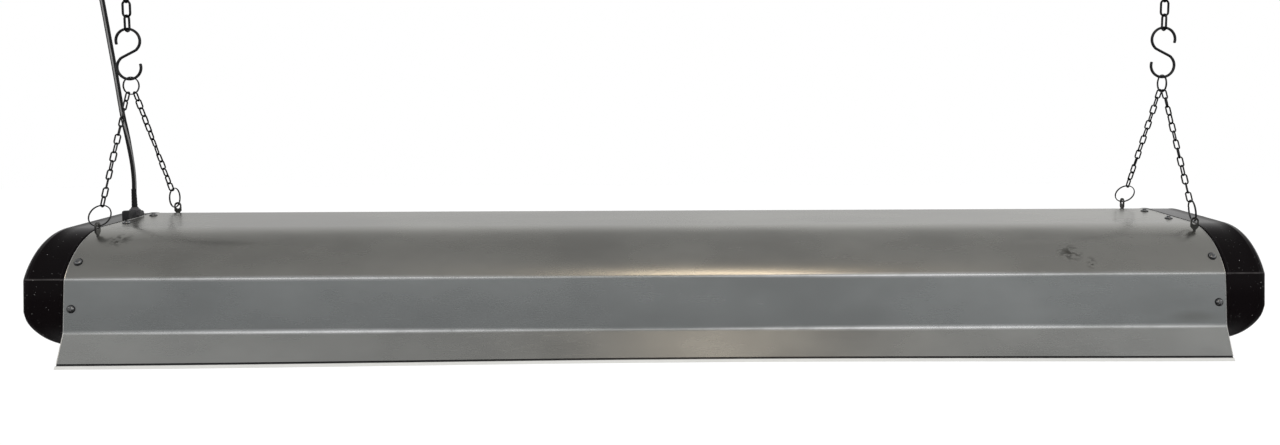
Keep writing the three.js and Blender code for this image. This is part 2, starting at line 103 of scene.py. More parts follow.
def map_range(nodes, links, value, numbers, smooth=False):
    """A value scaled from between the first two numbers to between the last two."""
    node = nodes.new("ShaderNodeMapRange")
    if smooth:
        node.interpolation_type = "SMOOTHSTEP"
    for socket, number in zip(("From Min", "From Max", "To Min", "To Max"), numbers):
        node.inputs[socket].default_value = number
    links.new(value, node.inputs["Value"])
    return node.outputs["Result"]


def height_ramp(nodes, links, height, stops):
    """Brightness by the sine of the elevation, from -1 to 1."""
    node = nodes.new("ShaderNodeValToRGB")
    ramp = node.color_ramp
    for element, (sine, value) in ((ramp.elements[0], stops[0]), (ramp.elements[1], stops[-1])):
        element.position, element.color = (sine + 1) / 2, (value, value, value, 1)
    for sine, value in stops[1:-1]:
        ramp.elements.new((sine + 1) / 2).color = (value, value, value, 1)
    links.new(height, node.inputs["Fac"])
    return node.outputs["Color"]


def make_world():
    """White all round for the eye and for matt surfaces; metal and gloss reflect a grey
    room with one long strip light in front and a pale wall behind."""
    world = bpy.data.worlds.new("studio")
    bpy.context.scene.world = world
    world.use_nodes = True
    nodes, links = world.node_tree.nodes, world.node_tree.links
    nodes.clear()
    coord = nodes.new("ShaderNodeTexCoord")
    split = nodes.new("ShaderNodeSeparateXYZ")
    links.new(coord.outputs["Generated"], split.inputs[0])
    height = map_range(nodes, links, split.outputs["Z"], (-1, 1, 0, 1))
    front = height_ramp(nodes, links, height, FRONT_ROOM)
    back = height_ramp(nodes, links, height, BACK_ROOM)
    behind = map_range(nodes, links, split.outputs["Y"], FRONT_TO_BACK, smooth=True)
    room = nodes.new("ShaderNodeMix")
    room.data_type = "RGBA"
    links.new(behind, room.inputs["Factor"])
    links.new(front, room.inputs[6])
    links.new(back, room.inputs[7])
    level = map_range(nodes, links, split.outputs["X"], LEFT_TO_RIGHT)
    glossy, plain = nodes.new("ShaderNodeBackground"), nodes.new("ShaderNodeBackground")
    links.new(room.outputs[2], glossy.inputs["Color"])
    links.new(level, glossy.inputs["Strength"])
    plain.inputs["Color"].default_value = (1, 1, 1, 1)
    plain.inputs["Strength"].default_value = 1.0
    seen = nodes.new("ShaderNodeLightPath")
    join = nodes.new("ShaderNodeMixShader")
    links.new(seen.outputs["Is Glossy Ray"], join.inputs[0])
    links.new(plain.outputs[0], join.inputs[1])
    links.new(glossy.outputs[0], join.inputs[2])
    out = nodes.new("ShaderNodeOutputWorld")
    links.new(join.outputs[0], out.inputs[0])


def area_light(name, at, aim, size, power, colour=(1, 1, 1), glossy=False):
    data = bpy.data.lights.new(name, "AREA")
    data.shape = "RECTANGLE"
    data.size, data.size_y = size
    data.energy = power
    data.color = colour
    light = bpy.data.objects.new(name, data)
    light.location = at
    light.rotation_euler = (aim - at).to_track_quat("-Z", "Y").to_euler()
    light.visible_glossy = glossy
    bpy.context.collection.objects.link(light)


# -------- materials
# Painted light: one grey each for the top, the side panel and the skirt of the one hood sheet,
# warmer or cooler and paler or darker for how light falls on each.
TOP_PAINTED_TONE, PANEL_PAINTED_TONE, SKIRT_PAINTED_TONE = (0.505, 0.50, 0.47), (0.54, 0.565, 0.565), (0.465, 0.47, 0.455)
# The last of these is the white of the painted highlights along the creases.
GRIME_BROWN, SMUDGE_GREY, CREASE_HIGHLIGHT_WHITE = (0.10, 0.095, 0.085), (0.33, 0.34, 0.32), (0.96, 0.97, 0.98)
# The middle of these is the grey of the painted highlight line along each side of the cap.
CAP_BLACK, CAP_HIGHLIGHT, CAP_DUST = (0.004, 0.003, 0.0034), (0.07, 0.065, 0.065), (0.3, 0.3, 0.29)
ROUGH_VARY = 0.08
CAP_SIDE_Y = 123  # about where the cap's widest line is
# x, y, z in mm, the size in metres and how dark each scuff is
SCUFFS = ((-556, -80, -9, (0.016, 0.014, 0.012), 0.8),
          (-566, -46, -1, (0.022, 0.016, 0.01), 0.5),
          (436, -96, -24, (0.016, 0.022, 0.010), 0.9),
          (456, -104, -34, (0.007, 0.016, 0.009), 0.9))
SMUDGE = (560, -122, -86, (0.030, 0.03, 0.0075))  # where a hand has darkened the side panel
# x and z in mm, the half length in mm and how bright each painted highlight along a crease is
PAINTED_CREASE_HIGHLIGHTS = ((-350, CREASE_Z, 330, 0.8), (270, CREASE_Z, 240, 0.9), (500, CREASE_Z, 120, 0.35),
                (-330, SKIRT_Z, 300, 0.9), (280, SKIRT_Z, 260, 0.9), (520, SKIRT_Z, 110, 0.4))


def principled(name, colour, roughness, metallic=0.0, **sockets):
    mat = bpy.data.materials.new(name)
    mat.use_nodes = True
    shader = mat.node_tree.nodes["Principled BSDF"]
    shader.inputs["Base Color"].default_value = (*colour, 1)
    shader.inputs["Roughness"].default_value = roughness
    shader.inputs["Metallic"].default_value = metallic
    for socket, value in sockets.items():
        shader.inputs[socket.replace("_", " ")].default_value = value
    return mat, shader


class Graph:
    """Short calls for the shader nodes of one material."""

    def __init__(self, mat):
        self.nodes, self.links = mat.node_tree.nodes, mat.node_tree.links
        self.coord = self.nodes.new("ShaderNodeTexCoord").outputs["Object"]

    def placed(self, scale, turn=(0, 0, 0), shift=(0, 0, 0)):
        node = self.nodes.new("ShaderNodeMapping")
        node.inputs["Scale"].default_value = scale
        node.inputs["Rotation"].default_value = turn
        node.inputs["Location"].default_value = shift
        self.links.new(self.coord, node.inputs["Vector"])
        return node.outputs[0]

    def noise(self, scale, detail=3.0, vector=None, rough=0.5):
        node = self.nodes.new("ShaderNodeTexNoise")
        node.inputs["Scale"].default_value = scale
        node.inputs["Detail"].default_value = detail
        node.inputs["Roughness"].default_value = rough
        self.links.new(vector or self.coord, node.inputs["Vector"])
        return node.outputs["Fac"]

    def ramp(self, value, low, high, start=0.0, end=1.0):
        return map_range(self.nodes, self.links, value, (low, high, start, end))

    def math(self, kind, a, b):
        node = self.nodes.new("ShaderNodeMath")
        node.operation = kind
        for socket, value in zip(node.inputs, (a, b)):
            if isinstance(value, (int, float)):
                socket.default_value = value
            else:
                self.links.new(value, socket)
        return node.outputs[0]

    def mix(self, fac, a, b):
        node = self.nodes.new("ShaderNodeMix")
        node.data_type = "RGBA"
        self.links.new(fac, node.inputs["Factor"])
        for socket, value in ((node.inputs[6], a), (node.inputs[7], b)):
            if isinstance(value, tuple):
                socket.default_value = (*value, 1)
            else:
                self.links.new(value, socket)
        return node.outputs[2]

    def patch(self, centre, size):
        """1 at a point of the part, 0 outside an ellipsoid of that size round it."""
        scale = [1 / s for s in size]
        shift = [-c * s for c, s in zip(centre, scale)]
        node = self.nodes.new("ShaderNodeVectorMath")
        node.operation = "LENGTH"
        self.links.new(self.placed(scale, shift=shift), node.inputs[0])
        return self.ramp(node.outputs["Value"], 0.25, 1.0, 1.0, 0.0)

    def bump(self, shader, height, strength, distance):
        node = self.nodes.new("ShaderNodeBump")
        node.inputs["Strength"].default_value = strength
        node.inputs["Distance"].default_value = distance
        self.links.new(height, node.inputs["Height"])
        self.links.new(node.outputs[0], shader.inputs["Normal"])


def grained(name, colour, roughness, metallic, scale, vary, strength, stretch=(1, 1, 1), **sockets):
    """A material whose colour, roughness and surface all vary a little, at one grain size."""
    mat, shader = principled(name, colour, roughness, metallic, **sockets)
    g = Graph(mat)
    fine = g.noise(scale, 4.0, g.placed(stretch))
    broad = g.noise(scale * 0.06, 2.0)
    dark = tuple(c * (1 - vary) for c in colour)
    light = tuple(min(1.0, c * (1 + vary)) for c in colour)
    g.links.new(g.mix(g.ramp(broad, 0.3, 0.7), dark, light), shader.inputs["Base Color"])
    g.links.new(g.ramp(fine, 0.3, 0.7, roughness - ROUGH_VARY, roughness + ROUGH_VARY),
                shader.inputs["Roughness"])
    g.bump(shader, fine, strength, 0.0002)
    return mat


def below(g, height, z):
    """1 on the hood under a crease, 0 over it, changing over 4 mm."""
    return g.ramp(height, (z - 2 - DROP) / 1000, (z + 2 - DROP) / 1000, 1.0, 0.0)


def hood_colour(g, cloud, crease_highlight):
    """Painted light and shade: a grey for each of the top, the side panel and the skirt, for how
    light falls on each, with clouding, scuffs and painted highlights along the creases.
    """
    split = g.nodes.new("ShaderNodeSeparateXYZ")
    g.links.new(g.coord, split.inputs[0])
    height = split.outputs["Z"]
    # Painted light: each panel of the sheet gets its own grey.
    base = g.mix(below(g, height, SKIRT_Z), g.mix(below(g, height, CREASE_Z), TOP_PAINTED_TONE, PANEL_PAINTED_TONE),
                 SKIRT_PAINTED_TONE)
    shade = g.mix(g.ramp(cloud, 0.36, 0.66), (0.84, 0.84, 0.84), (1.04, 1.04, 1.04))
    tint = g.nodes.new("ShaderNodeMix")
    tint.data_type, tint.blend_type = "RGBA", "MULTIPLY"
    tint.inputs["Factor"].default_value = 1.0
    g.links.new(base, tint.inputs[6])
    g.links.new(shade, tint.inputs[7])
    colour = tint.outputs[2]
    grime = g.noise(300.0, 5.0, g.placed((0.6, 1, 1)), 0.65)
    for x, y, z, size, depth in SCUFFS:
        mark = g.math("MULTIPLY", g.patch(P(x, y, z), size), g.ramp(grime, 0.46, 0.56, 0.0, depth))
        colour = g.mix(mark, colour, GRIME_BROWN)
    x, y, z, size = SMUDGE
    colour = g.mix(g.math("MULTIPLY", g.patch(P(x, y, z), size), 0.5), colour, SMUDGE_GREY)
    # Painted highlight along the creases, mixed over the colour.
    return g.mix(crease_highlight, colour, CREASE_HIGHLIGHT_WHITE)


def hood_metal():
    """Mill-finish sheet: rolled streaks along X, clouding, a painted grey for each panel, painted
    highlights along the creases, fine scratches.
    """
    mat, shader = principled("hood_metal", (0.5, 0.5, 0.48), 0.22, 1.0)
    g = Graph(mat)
    rolled = g.noise(34.0, 5.0, g.placed((0.6, 22, 22)), 0.6)
    cloud = g.noise(6.0, 4.0, g.placed((1, 2.0, 2.0)), 0.55)
    # Painted highlight: a paler line along each crease, for the bright reflection its bend catches;
    # the same mask lowers the roughness there.
    crease_highlight = 0.0
    for x, z, length, amount in PAINTED_CREASE_HIGHLIGHTS:
        line = g.patch(P(x, 0, z), (length / 1000, 1.5, 0.0032))
        crease_highlight = g.math("MAXIMUM", g.math("MULTIPLY", line, amount), crease_highlight)
    crease_highlight = g.math("MULTIPLY", crease_highlight, g.ramp(g.noise(55.0, 3.0), 0.25, 0.5, 0.6, 1.0))
    g.links.new(hood_colour(g, cloud, crease_highlight), shader.inputs["Base Color"])

    lines = g.noise(26.0, 1.0, g.placed((2.0, 46, 46), turn=(0, 0, math.radians(24))), 0.4)
    hairs = g.noise(30.0, 1.0, g.placed((50, 2.4, 8), turn=(0, 0, math.radians(38))), 0.4)
    thin = g.math("MULTIPLY", g.ramp(lines, 0.665, 0.68), g.ramp(g.noise(3.2, 1.0), 0.5, 0.62))
    field = g.patch(P(70, -15, 0), (0.16, 0.06, 0.02))
    thin = g.math("MAXIMUM", thin, g.math("MULTIPLY", g.ramp(hairs, 0.64, 0.67), field))
    rough = g.math("ADD", g.ramp(cloud, 0.3, 0.7, 0.23, 0.29), g.math("MULTIPLY", rolled, 0.02))
    rough = g.math("ADD", rough, g.math("MULTIPLY", thin, 0.06))
    rough = g.math("SUBTRACT", rough, g.math("MULTIPLY", crease_highlight, 0.04))
    g.links.new(rough, shader.inputs["Roughness"])
    height = g.math("ADD", g.math("MULTIPLY", rolled, 0.08), g.math("MULTIPLY", thin, -0.2))
    dents = g.math("MULTIPLY", g.noise(9.0, 1.0), 1.2)
    g.bump(shader, g.math("ADD", height, dents), 0.05, 0.0006)
    return mat


def cap_plastic():
    """Glossy black moulding with dust specks and a painted highlight line along each side at the
    crease's height.
    """
    mat, shader = principled("cap_plastic", CAP_BLACK, 0.09)
    shader.inputs["IOR"].default_value = 1.2
    g = Graph(mat)
    dust = g.ramp(g.noise(700.0, 1.0), 0.755, 0.80)
    # Painted highlight: a paler line along each side at the crease's height, for the light the
    # crease catches.
    sides = [g.patch(P(0, y, CREASE_Z), (9.0, 0.016, 0.0012)) for y in (-CAP_SIDE_Y, CAP_SIDE_Y)]
    patchy = g.ramp(g.noise(90.0), 0.3, 0.6, 0.4, 1.0)
    edge = g.math("MULTIPLY", g.math("MAXIMUM", *sides), patchy)
    highlighted = g.mix(edge, CAP_BLACK, CAP_HIGHLIGHT)
    g.links.new(g.mix(dust, highlighted, CAP_DUST), shader.inputs["Base Color"])
    g.links.new(g.ramp(g.noise(60.0, 4.0), 0.3, 0.75, 0.06, 0.15), shader.inputs["Roughness"])
    g.bump(shader, g.noise(26.0, 2.0), 0.05, 0.002)
    return mat


def cord_rubber():
    mat, shader = principled("cord_rubber", (0.006, 0.006, 0.0065), 0.42, Specular_IOR_Level=0.3)
    g = Graph(mat)
    skin = g.noise(900.0, 3.0)
    cloud = g.ramp(g.noise(60.0), 0.3, 0.7)
    g.links.new(g.mix(cloud, (0.004, 0.004, 0.0045), (0.009, 0.009, 0.0095)),
                shader.inputs["Base Color"])
    g.links.new(g.ramp(skin, 0.3, 0.7, 0.34, 0.5), shader.inputs["Roughness"])
    g.bump(shader, skin, 0.08, 0.0002)
    return mat


# Material name, colour, roughness, metal, grain size, and how much the colour and bump vary
FINISHES = {
    "bare": ("bare_edge", (0.88, 0.88, 0.86), 0.3, 1.0, 500, 0.1, 0.05),
    "white": ("white_paint", (0.64, 0.64, 0.62), 0.38, 0.0, 420, 0.03, 0.06),
    "screw": ("screw_steel", (0.34, 0.345, 0.35), 0.10, 1.0, 900, 0.2, 0.05),
    "ring": ("ring_steel", (0.085, 0.087, 0.09), 0.12, 1.0, 700, 0.25, 0.05),
    "chain": ("chain_steel", (0.045, 0.046, 0.048), 0.24, 1.0, 600, 0.35, 0.1),
    "clip": ("zinc_steel", (0.13, 0.13, 0.125), 0.34, 1.0, 500, 0.3, 0.12),
    "hook": ("hook_black", (0.008, 0.008, 0.009), 0.26, 0.0, 500, 0.3, 0.1),
    "plastic": ("black_plastic", (0.014, 0.014, 0.016), 0.34, 0.0, 800, 0.2, 0.12),
    "clamp": ("clamp_grey", (0.06, 0.058, 0.062), 0.3, 0.0, 700, 0.2, 0.1),
    # The grey of the cord's grooves is a painted highlight, the light line a flat cord shows down
    # each flat face.
    "seam": ("cord_groove_highlight", (0.20, 0.20, 0.20), 0.4, 0.0, 500, 0.3, 0.1),
    "holder": ("holder_plastic", (0.80, 0.79, 0.75), 0.46, 0.0, 600, 0.04, 0.08),
    "driver": ("driver_case", (0.55, 0.56, 0.57), 0.42, 1.0, 260, 0.1, 0.1),
    "board": ("board_white", (0.82, 0.82, 0.78), 0.5, 0.0, 500, 0.04, 0.05),
    "phosphor": ("led_phosphor", (0.80, 0.62, 0.12), 0.5, 0.0, 900, 0.1, 0.05),
    "brass": ("plug_blade", (0.55, 0.47, 0.28), 0.25, 1.0, 600, 0.15, 0.05),
}
MAT = {key: grained(*finish) for key, finish in FINISHES.items()}
MAT["alu"] = grained("tube_aluminium", (0.66, 0.67, 0.68), 0.34, 1.0, 240, 0.08, 0.1, (0.1, 4, 4))
MAT["diffuser"] = grained("diffuser", (0.88, 0.87, 0.83), 0.55, 0.0, 500, 0.03, 0.05,
                          Transmission_Weight=0.35)
MAT["hood"], MAT["cap"], MAT["cord"] = hood_metal(), cap_plastic(), cord_rubber()


# -------- mesh tools
def make(name, parts, mats, body, replaced=(), crease=35.0):
    """One object from (vertices, faces, material number) lists, riding on a body."""
    mesh = bpy.data.meshes.new(name)
    verts, faces, index = [], [], []
    for part_verts, part_faces, number in parts:
        base = len(verts)
        verts.extend(part_verts)
        faces.extend([tuple(i + base for i in face) for face in part_faces])
        index.extend([number] * len(part_faces))
    mesh.from_pydata([tuple(v) for v in verts], [], faces)
    mesh.validate()
    for mat in mats:
        mesh.materials.append(MAT[mat])
    if len(mesh.polygons) == len(index):
        mesh.polygons.foreach_set("material_index", index)
    bm = bmesh.new()
    bm.from_mesh(mesh)
    bmesh.ops.recalc_face_normals(bm, faces=bm.faces)
    bm.to_mesh(mesh)
    bm.free()
    mesh.shade_smooth()
    mesh.set_sharp_from_angle(angle=math.radians(crease))
    obj = bpy.data.objects.new(name, mesh)
    bpy.context.collection.objects.link(obj)
    if body:
        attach(obj, body)
    if replaced:
        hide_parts(*replaced)
    return obj


def loft(rings, around=True, ends=False, number=0):
    """Joins rings of equal point counts, in order."""
    count = len(rings[0])
    verts = [v for ring in rings for v in ring]
    faces = []
    for r in range(len(rings) - 1):
        for i in range(count if around else count - 1):
            j = (i + 1) % count
            faces.append((r * count + i, r * count + j, (r + 1) * count + j, (r + 1) * count + i))
    if ends:
        faces.append(tuple(range(count - 1, -1, -1)))
        faces.append(tuple(range((len(rings) - 1) * count, len(rings) * count)))
    return verts, faces, number


def sweep(path, section, up, closed=False, twist=None, number=0, round_ends=0.0):
    """Carries a section of (a, b) points along a path, without twisting unless told to."""
    n = len(path)
    tangents = []
    for i in range(n):
        before = path[i - 1] if i or closed else path[i]
        after = path[(i + 1) % n] if i < n - 1 or closed else path[i]
        tangents.append((after - before).normalized())
    side = up.cross(tangents[0])
    if side.length < 1e-4:
        side = X_AXIS.cross(tangents[0])
    side.normalize()
    rings = []
    for i in range(n):
        if i:
            side = (tangents[i - 1].rotation_difference(tangents[i]) @ side).normalized()
        other = tangents[i].cross(side)
        angle = twist[i] if twist else 0.0
        c, s = math.cos(angle), math.sin(angle)
        rings.append((path[i], side * c + other * s, other * c - side * s, tangents[i]))

    def dome(ring, k, way):
        """The section drawn in towards a rounded tip; k is 1 at the tip."""
        return ring_points(ring, section, math.sqrt(max(0.02, 1 - k * k)), way * round_ends * k)

    out = []
    if round_ends and not closed:
        out += [dome(rings[0], k, -1) for k in (1.0, 0.7, 0.35)]
    out += [ring_points(r, section, 1.0, 0.0) for r in rings]
    if round_ends and not closed:
        out += [dome(rings[-1], k, 1) for k in (0.35, 0.7, 1.0)]
    if closed:
        out.append(out[0])
    return loft(out, ends=not closed, number=number)


def ring_points(ring, section, scale, push):
    at, a_axis, b_axis, along = ring
    return [at + a_axis * (a * scale) + b_axis * (b * scale) + along * push for a, b in section]


def circle(radius, sides):
    return [(radius * math.cos(2 * math.pi * i / sides), radius * math.sin(2 * math.pi * i / sides))
            for i in range(sides)]


def spline(points, step):
    """A smooth curve through the points, sampled about every step."""
    out = []
    ends = [points[0] * 2 - points[1]] + points + [points[-1] * 2 - points[-2]]
    for i in range(1, len(ends) - 2):
        a, b, c, d = ends[i - 1:i + 3]
        count = max(2, int((c - b).length / step))
        for k in range(count):
            t = k / count
            out.append(0.5 * (2 * b + (c - a) * t + (2 * a - 5 * b + 4 * c - d) * t ** 2
                              + (3 * b - 3 * c + d - a) * t ** 3))
    return out + [points[-1]]


def turned(profile, at, axis, segments, number=0):
    """A lathe of (radius, height) points in mm about an axis through a point in metres."""
    turn = Z_AXIS.rotation_difference(axis)
    angles = [2 * math.pi * i / segments for i in range(segments)]
    rings = [[at + turn @ (Vector((radius * math.cos(a), radius * math.sin(a), height)) * 0.001)
              for a in angles] for radius, height in profile]
    return loft(rings, ends=True, number=number)


# -------- the hood's section
SHOULDER, HALF_TOP = 77.0, 47.0
CREASE_ANGLE = math.acos(1 + CREASE_Z / SHOULDER)
CREASE_2, FLARE_END = (121.2, SKIRT_Z), (134.2, -123.2)
SHEET = 0.8  # thickness
HOOD_STEPS = 48  # stations along its length
BOW, BOW_MIDDLE, BOW_LENGTH = 3.0, 60, 1300


def shoulder(angle):
    return (HALF_TOP + SHOULDER * math.sin(angle), SHOULDER * (math.cos(angle) - 1))


def rounded(points, radii, steps=4):
    """Replaces corners of an open line by short arcs; 0 leaves a corner alone."""
    out = []
    for i, point in enumerate(points):
        if not radii[i]:
            out.append(point)
            continue
        here = Vector(point)
        a, b = Vector(points[i - 1]) - here, Vector(points[i + 1]) - here
        reach = min(radii[i], a.length * 0.45, b.length * 0.45)
        start, end = here + a.normalized() * reach, here + b.normalized() * reach
        for k in range(steps + 1):
            t = k / steps
            out.append(tuple(start * (1 - t) ** 2 + here * 2 * t * (1 - t) + end * t ** 2))
    return out


def hood_half(steps=22, soft=4.2):
    arc = [shoulder(CREASE_ANGLE * i / steps) for i in range(steps + 1)]
    line = [(0.0, 0.0)] + arc + [CREASE_2, FLARE_END]
    radii = [0] * (len(line) - 3) + [soft, 2.6, 0]
    return rounded(line, radii)


def inset(line, distance):
    normals = []
    for a, b in zip(line, line[1:]):
        dy, dz = b[0] - a[0], b[1] - a[1]
        size = math.hypot(dy, dz)
        normals.append((dz / size, -dy / size))
    out = []
    for i, (y, z) in enumerate(line):
        a, b = normals[max(i - 1, 0)], normals[min(i, len(normals) - 1)]
        k = distance / (1 + a[0] * b[0] + a[1] * b[1])
        out.append((y + (a[0] + b[0]) * k, z + (a[1] + b[1]) * k))
    return out


def mirrored(line):
    return [(-y, z) for y, z in reversed(line)]


def bow(x, z):
    """The skirt's free edge rises a little towards the middle of the long side."""
    weight = min(1.0, max(0.0, (SKIRT_Z - z) / 33))
    return BOW * weight * math.cos(math.pi * (x - BOW_MIDDLE) / BOW_LENGTH) ** 2


def make_hood():
    """The grey outside and the white inside as two skins, joined by the hem's fold, with a groove
    over the fold in black plastic, painted shade for the shadow in that gap, and a bare cut edge
    with a burr at each end."""
    outside = hood_half()
    inside = inset(outside, SHEET)
    y, z = FLARE_END
    groove = [(y, z), (y - 0.5, z - 0.8), (y + 0.2, z - 1.9), (y + 1.5, z - 1.6)]
    fold = rounded([groove[-1], (y + 2.2, z - 1.6), (y + 4.1, z - 4.4), (y + 2.8, z - 4.8),
                    (y + 1.3, z - 4.7)], [0, 0.4, 0.6, 0.6, 0], 3)
    grey_line = mirrored(outside[1:]) + outside
    inner_edge = mirrored(inside[1:]) + inside
    white = fold + list(reversed(inside[1:]))
    white_line = white + [(0.0, -SHEET)] + mirrored(white)
    xs = [-HOOD_END + 2 * HOOD_END * i / HOOD_STEPS for i in range(HOOD_STEPS + 1)]

    def place(line, x):
        return [P(x, a, b + bow(x, b)) for a, b in line]

    parts = [loft([place(grey_line, x) for x in xs], around=False),
             loft([place(white_line, x) for x in xs], around=False, number=1)]
    # Painted shade: the groove's faces get the black plastic, for the shadow in the gap over the
    # fold.
    for line in (groove, mirrored(groove)):
        parts.append(loft([place(line, x) for x in xs], around=False, number=3))
    for x in (xs[0], xs[-1]):
        parts.append(loft([place(grey_line, x), place(inner_edge, x)], around=False, number=2))
        burr = place(grey_line, x - math.copysign(0.25, x))
        parts.append(sweep(burr, circle(0.00042, 6), up=X_AXIS, number=2))
    return make("hood_sheet", parts, ["hood", "white", "bare", "plastic"], "fixture", ["hood"],
                28)


# -------- end caps
# The lines of the cap's raised rim, from the hood's end, and of the fine step before its
# rounded end, from where that starts: the distance along X and the inset, below 0 where proud
CAP_RIM = ((0.5, 3.4), (0.9, 3.4), (1.0, -0.5), (1.5, -0.9), (3.2, -0.9), (3.8, -0.4), (4.4, 0.0))
CAP_STEP = ((-1.6, 0.0), (-1.1, -0.22), (-0.5, -0.22), (0.0, 0.0))
CAP_CHIN = ((117.8, -76), (114.8, -85), (109, -93.5), (98.6, -103.4), (85, -113.2), (68, -122.4),
            (56, -126.4))
CAP_FLOOR = [(44.0, -127.0), (20.0, -127.0), (0.0, -127.0)]


def cap_half():
    """The hood's line with a soft crease down to z = -70, then the chin and the flat floor."""
    upper = [p for p in inset(hood_half(soft=16.0), 0.2) if p[1] > -70]
    chin = spline([Vector(p) for p in CAP_CHIN], 4.0)
    return upper + [tuple(v) for v in chin] + CAP_FLOOR


def make_cap(name, end):
    """The outer skin with its rounded end, the inner skin, and the flange inside the hood."""
    half = cap_half()

    def ring(x, amount):
        line = inset(half, amount)
        line[0], line[-1] = (0.0, line[0][1]), (0.0, line[-1][1])
        return [P(end * x, a, b) for a, b in line + mirrored(line)[1:-1]]

    side = CAP_END - CAP_ROUNDING
    outer = [ring(HOOD_END + x, amount) for x, amount in CAP_RIM]
    outer += [ring(604, 0.0), ring(616, 0.0)]
    outer += [ring(side + x, amount) for x, amount in CAP_STEP]
    for k in range(1, 9):
        t = math.pi / 2 * k / 8
        outer.append(ring(side + CAP_ROUNDING * math.sin(t), CAP_ROUNDING * (1 - math.cos(t))))
    inner = [ring(x, CAP_WALL + more) for x, more in (
        (HOOD_END + 0.5, 1.8), (side - 4, 1.8), (side + 3.5, 2.5), (CAP_END - CAP_WALL, 7))]
    parts = [loft(outer), loft(inner), loft([outer[0], inner[0]])]
    for last in (outer[-1], inner[-1]):
        parts.append((last, [tuple(range(len(last)))], 0))

    def flange_line(amount):
        line = [p for p in inset(half, amount) if p[1] > -90][1:]
        return mirrored(line) + line

    band_out, band_in = flange_line(1.0), flange_line(CAP_WALL + 1.5)
    size = min(len(band_out), len(band_in))
    band = band_out[:size] + list(reversed(band_in[:size]))
    stations = (575, 584, HOOD_END + 0.6)
    parts.append(loft([[P(end * x, a, b) for a, b in band] for x in stations], ends=True))
    return make(f"cap_{name}", parts, ["cap"], "fixture", [f"end_cap_{name}"], 24)


# -------- screws
SCREW_HEAD = ((0.001, 2.35), (1.2, 2.3), (2.3, 2.05), (3.1, 1.55), (3.55, 0.9), (3.7, 0.25),
              (3.6, 0.0), (1.6, 0.0), (1.6, -6.6), (0.9, -7.4), (0.001, -7.5))
# A black ring under each head: painted shade, standing for the contact shadow round it.
SCREW_SHADOW_RING = ((3.5, 0.0), (3.8, 0.45), (4.15, 0.4), (4.3, -0.1), (3.5, -0.2))
SCREW_LIFT = 0.0003  # of the head off the sheet, in metres
TOP_X, ARC_X, SIDE_X = 581.5, 584, 585
TOP_Y = {-1: -22.5, 1: 31}  # front and rear
ARC_ANGLE, SIDE_SHARE = 48.8, 0.555  # degrees round the shoulder; share down the panel


def evaluated_mesh(obj):
    """The mesh of an object after its modifiers, or of a filled curve."""
    bpy.context.view_layer.update()
    depsgraph = bpy.context.evaluated_depsgraph_get()
    return bpy.data.meshes.new_from_object(obj.evaluated_get(depsgraph))


def screw_mesh():
    """One pan head on a black ring that is painted shade, the contact shadow round the head, with a
    cross recess, about its own Z, in metres.
    """
    head = turned(SCREW_HEAD, Vector(), Z_AXIS, 24)
    shadow_ring = turned(SCREW_SHADOW_RING, Vector(), Z_AXIS, 24, 1)
    obj = make("screw_master", [head, shadow_ring], ["screw", "plastic"], None)
    cutters = []
    for angle in (0.4, 0.4 + math.pi / 2):
        c, s = math.cos(angle), math.sin(angle)
        rings = []
        for height, half_length, half_width in ((1.2, 0.9, 0.26), (2.8, 2.2, 0.42)):
            corners = ((-1, -1), (1, -1), (1, 1), (-1, 1))
            rings.append([Vector((c * a * half_length - s * b * half_width,
                                  s * a * half_length + c * b * half_width, height)) * 0.001
                          for a, b in corners])
        cutters.append(make("recess", [loft(rings, ends=True)], ["screw"], None))
    for cutter in cutters:
        cut = obj.modifiers.new("recess", "BOOLEAN")
        cut.operation, cut.object, cut.solver = "DIFFERENCE", cutter, "EXACT"
    shaped = evaluated_mesh(obj)
    for spare in (obj, *cutters):
        bpy.data.objects.remove(spare)
    shaped.set_sharp_from_angle(angle=math.radians(40))
    return shaped


def screw_seats():
    """The name, the point and the outward direction of each screw."""
    low = shoulder(CREASE_ANGLE)
    panel = [a + (b - a) * SIDE_SHARE for a, b in zip(low, CREASE_2)]
    slope = math.atan2(CREASE_2[0] - low[0], CREASE_Z - SKIRT_Z)
    angle = math.radians(ARC_ANGLE)
    arc = shoulder(angle)
    for end, sx in ENDS:
        for side, sy in SIDES:
            yield f"{end}_{side}_top", P(sx * TOP_X, TOP_Y[sy], 0), Z_AXIS
            yield (f"{end}_{side}_arc", P(sx * ARC_X, sy * arc[0], arc[1]),
                   Vector((0, sy * math.sin(angle), math.cos(angle))))
            yield (f"{end}_{side}_side", P(sx * SIDE_X, sy * panel[0], panel[1]),
                   Vector((0, sy * math.cos(slope), math.sin(slope))))


def make_screws():
    shaped = screw_mesh()
    for name, at, out in screw_seats():
        screw = bpy.data.objects.new(f"pan_screw_{name}", shaped)
        turn = Z_AXIS.rotation_difference(out).to_matrix()
        spin = Matrix.Rotation(random.uniform(0, math.pi), 3, "Z")
        screw.matrix_world = Matrix.Translation(at + out * SCREW_LIFT) @ (turn @ spin).to_4x4()
        bpy.context.collection.objects.link(screw)
        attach(screw, "fixture")
        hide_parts(f"screw_{name}")


# -------- chains, rings, hooks
# x and y of each clip and its yaw in degrees
CLIPS = {"left_front": (-581.3, -75, 0), "left_rear": (-574.6, 72, 90),
         "right_front": (581.3, -75, 78), "right_rear": (574.6, 72, 2)}
CLIP_EYE, CLIP_EYE_Z, CLIP_HALF = 3.1, 4.9, 3.7
